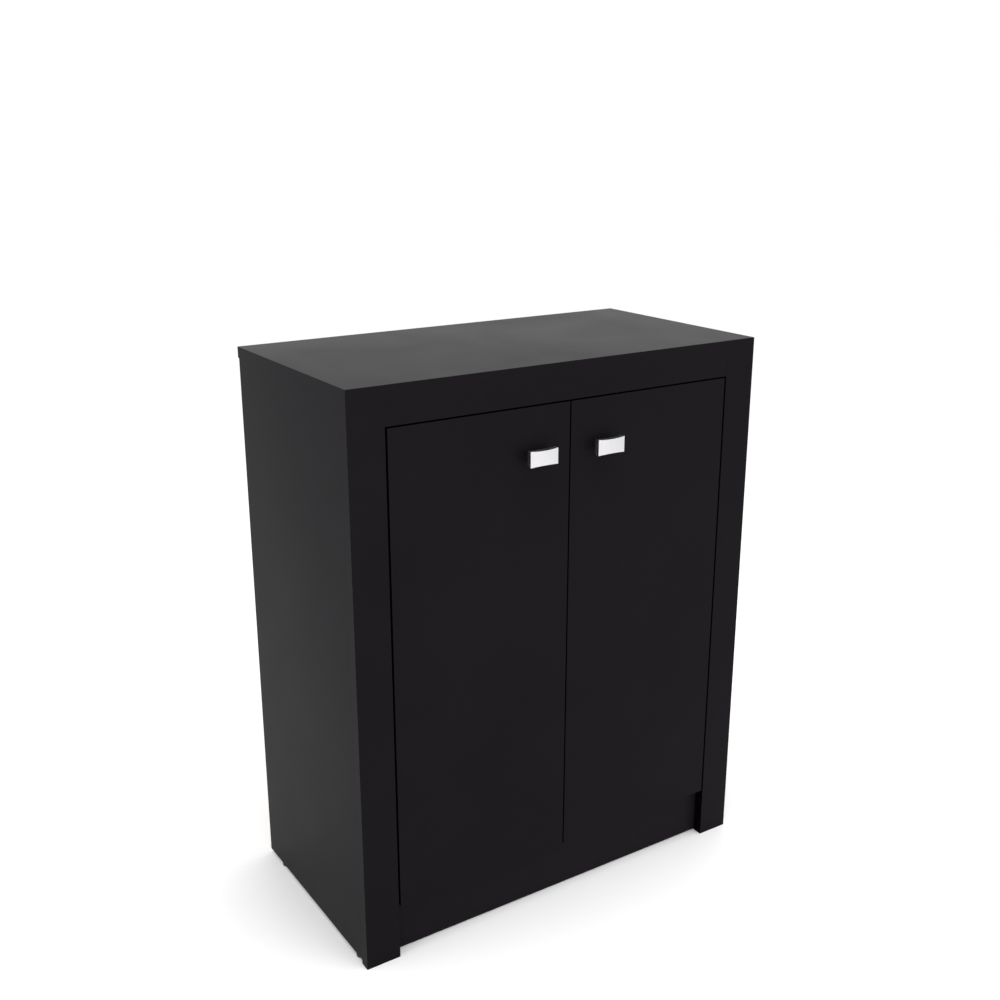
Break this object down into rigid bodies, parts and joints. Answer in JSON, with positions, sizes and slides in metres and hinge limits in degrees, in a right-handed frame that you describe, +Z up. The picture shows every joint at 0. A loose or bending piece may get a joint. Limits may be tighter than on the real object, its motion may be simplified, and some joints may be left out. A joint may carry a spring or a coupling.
{
  "type": "shoe cabinet",
  "caption": "Upright shoe cabinet with inset doors on concealed hinges, flush front frame, recessed kick board, inner shelves and bar handles.",
  "frame": {"origin": "on the floor, under the middle of the overall width and depth with the handles included", "axes": "+Z up, the front faces -Y, +X to the right seen from the front"},
  "size_m": [0.75, 0.41, 0.925],
  "materials": {
    "black_melamine": "satin black melamine facing on chipboard",
    "hardboard": "raw brown hardboard, smooth side out",
    "beech_dowel": "fluted beech",
    "chrome_plate": "polished chrome",
    "nickel_plate": "nickel plated pressed steel",
    "zinc_plate": "bright zinc plate",
    "black_plastic": "matt black moulded plastic",
    "clear_rubber": "clear soft bumper"
  },
  "bodies": {
    "carcass": {"back_joining_strip": "black_plastic", "back_nails": "zinc_plate", "back_panel_left": "hardboard", "back_panel_right": "hardboard", "bottom_panel": "black_melamine", "cam_bolts": "zinc_plate", "cam_locks": "zinc_plate", "door_bumpers": "clear_rubber", "dowels": "beech_dowel", "fixed_shelf": "black_melamine", "floor_glides": "black_plastic", "front_post_left": "black_melamine", "front_post_right": "black_melamine", "front_stretcher": "black_melamine", "hinge_arm_pins_left": "nickel_plate", "hinge_arm_pins_right": "nickel_plate", "hinge_arm_screws_left": "nickel_plate", "hinge_arm_screws_right": "nickel_plate", "hinge_arms_left": "nickel_plate", "hinge_arms_right": "nickel_plate", "hinge_plate_screws_left": "nickel_plate", "hinge_plate_screws_right": "nickel_plate", "hinge_plates_left": "nickel_plate", "hinge_plates_right": "nickel_plate", "hinge_stile_left": "black_melamine", "hinge_stile_right": "black_melamine", "kick_board": "black_melamine", "rear_base_rail": "black_melamine", "shelf_lower": "black_melamine", "shelf_middle": "black_melamine", "shelf_pins": "zinc_plate", "shelf_upper": "black_melamine", "side_panel_left": "black_melamine", "side_panel_right": "black_melamine", "stretcher_screws": "zinc_plate", "top_panel": "black_melamine", "top_rail": "black_melamine"},
    "door_left": {"door_panel_left": "black_melamine", "handle_left": "chrome_plate", "handle_screws_left": "zinc_plate", "hinge_cup_screws_left": "nickel_plate", "hinge_cups_left": "nickel_plate"},
    "door_right": {"door_panel_right": "black_melamine", "handle_right": "chrome_plate", "handle_screws_right": "zinc_plate", "hinge_cup_screws_right": "nickel_plate", "hinge_cups_right": "nickel_plate"},
    "hinge_links_left": {"hinge_links_left": "nickel_plate"},
    "hinge_links_right": {"hinge_links_right": "nickel_plate"}
  },
  "joints": [
    {"name": "door_left_hinge", "type": "hinge", "parent": "carcass", "child": "door_left", "pos_m": [-0.3075, -0.1775, 0.47795], "axis": [0, 0, -1], "range_deg": [0, 100]},
    {"name": "hinge_link_left_turn", "type": "hinge", "parent": "carcass", "child": "hinge_links_left", "pos_m": [-0.30807, -0.16017, 0.47795], "axis": [0, 0, -1], "range_deg": [0, 47.5]},
    {"name": "door_right_hinge", "type": "hinge", "parent": "carcass", "child": "door_right", "pos_m": [0.3075, -0.1775, 0.47795], "axis": [0, 0, 1], "range_deg": [0, 100]},
    {"name": "hinge_link_right_turn", "type": "hinge", "parent": "carcass", "child": "hinge_links_right", "pos_m": [0.30807, -0.16017, 0.47795], "axis": [0, 0, 1], "range_deg": [0, 47.5]}
  ],
  "couplings": [
    {"joint": "hinge_link_left_turn", "follows": "door_left_hinge", "ratio": 0.47},
    {"joint": "hinge_link_right_turn", "follows": "door_right_hinge", "ratio": 0.47}
  ]
}
